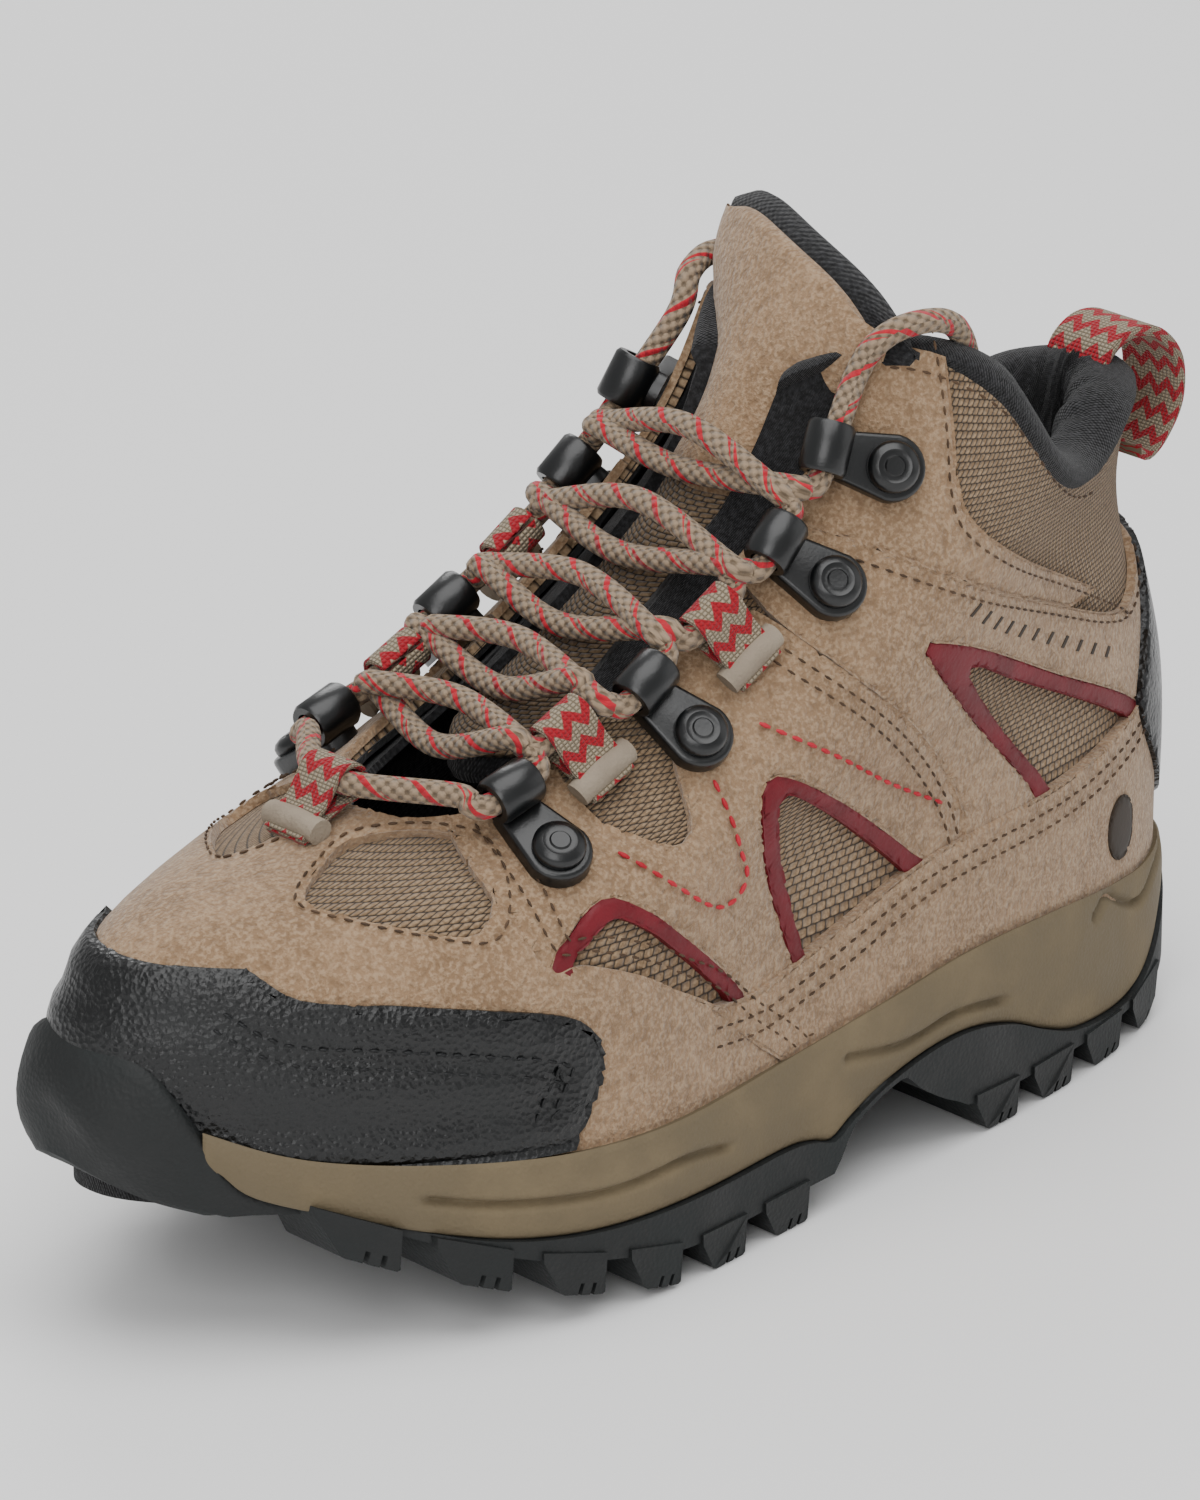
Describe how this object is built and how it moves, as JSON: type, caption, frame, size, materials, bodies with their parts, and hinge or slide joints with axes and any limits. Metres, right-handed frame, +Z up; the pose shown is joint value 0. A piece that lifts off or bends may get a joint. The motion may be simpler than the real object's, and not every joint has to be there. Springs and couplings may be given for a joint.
{
  "type": "hiking boot",
  "caption": "Mid-height lace-up hiking boot with suede and mesh panels, speed hooks, a padded collar and tongue, a heel pull loop and a lugged rubber sole.",
  "frame": {"origin": "middle of the whole boot's bounding box in X and Y, on the ground", "axes": "+X towards the heel, -X towards the toe, -Y to the outer side of the foot, +Z up"},
  "size_m": [0.2626, 0.0942, 0.1573],
  "materials": {
    "tan_suede": "brushed suede nap",
    "upper_mesh": "coarse woven mesh",
    "red_trim": "smooth synthetic binding",
    "black_cap": "pebbled, satin",
    "outsole_rubber": "matte moulded rubber",
    "midsole_foam": "matte moulded foam",
    "hook_nylon": "satin moulded nylon",
    "aglet_film": "smooth",
    "webbing": "woven, red figured",
    "lace_cord": "round braid with red flecks",
    "black_lining": "soft brushed knit",
    "foam_padding": "open foam",
    "stiffener": "stiff board",
    "shank_steel": "rolled"
  },
  "bodies": {
    "boot": {"aglet_inner": "aglet_film", "aglet_outer": "aglet_film", "ankle_foam_inner": "foam_padding", "ankle_foam_outer": "foam_padding", "collar_padding": "black_lining", "collar_panel_inner": "tan_suede", "collar_panel_outer": "tan_suede", "eyestay_inner": "tan_suede", "eyestay_outer": "tan_suede", "footbed": "black_lining", "foxing_suede": "tan_suede", "heel_cap": "black_cap", "heel_counter": "stiffener", "hook_lower_inner": "hook_nylon", "hook_lower_outer": "hook_nylon", "hook_middle_inner": "hook_nylon", "hook_middle_outer": "hook_nylon", "hook_top_inner": "hook_nylon", "hook_top_outer": "hook_nylon", "hook_upper_inner": "hook_nylon", "hook_upper_outer": "hook_nylon", "insole_board": "stiffener", "lace": "lace_cord", "lining_bootie": "black_lining", "midsole": "midsole_foam", "outsole": "outsole_rubber", "pull_loop": "webbing", "quarter_inner": "tan_suede", "quarter_mesh_inner": "upper_mesh", "quarter_mesh_outer": "upper_mesh", "quarter_outer": "tan_suede", "rivet_lower_inner": "hook_nylon", "rivet_lower_outer": "hook_nylon", "rivet_middle_inner": "hook_nylon", "rivet_middle_outer": "hook_nylon", "rivet_top_inner": "hook_nylon", "rivet_top_outer": "hook_nylon", "rivet_upper_inner": "hook_nylon", "rivet_upper_outer": "hook_nylon", "shank": "shank_steel", "toe_cap": "black_cap", "toe_puff": "stiffener", "trim_front_inner": "red_trim", "trim_front_outer": "red_trim", "trim_middle_inner": "red_trim", "trim_middle_outer": "red_trim", "trim_rear_inner": "red_trim", "trim_rear_outer": "red_trim", "vamp_mesh": "upper_mesh", "vamp_suede": "tan_suede", "webbing_loop_lower_inner": "webbing", "webbing_loop_lower_outer": "webbing", "webbing_loop_upper_inner": "webbing", "webbing_loop_upper_outer": "webbing", "webbing_loop_vamp": "webbing"},
    "tongue": {"tongue_cover": "tan_suede", "tongue_pad": "black_lining"}
  },
  "joints": [
    {"name": "tongue_tilt", "type": "hinge", "parent": "boot", "child": "tongue", "pos_m": [-0.07, 0.001, 0.073], "axis": [0, 1, 0], "range_deg": [0, 8]}
  ]
}
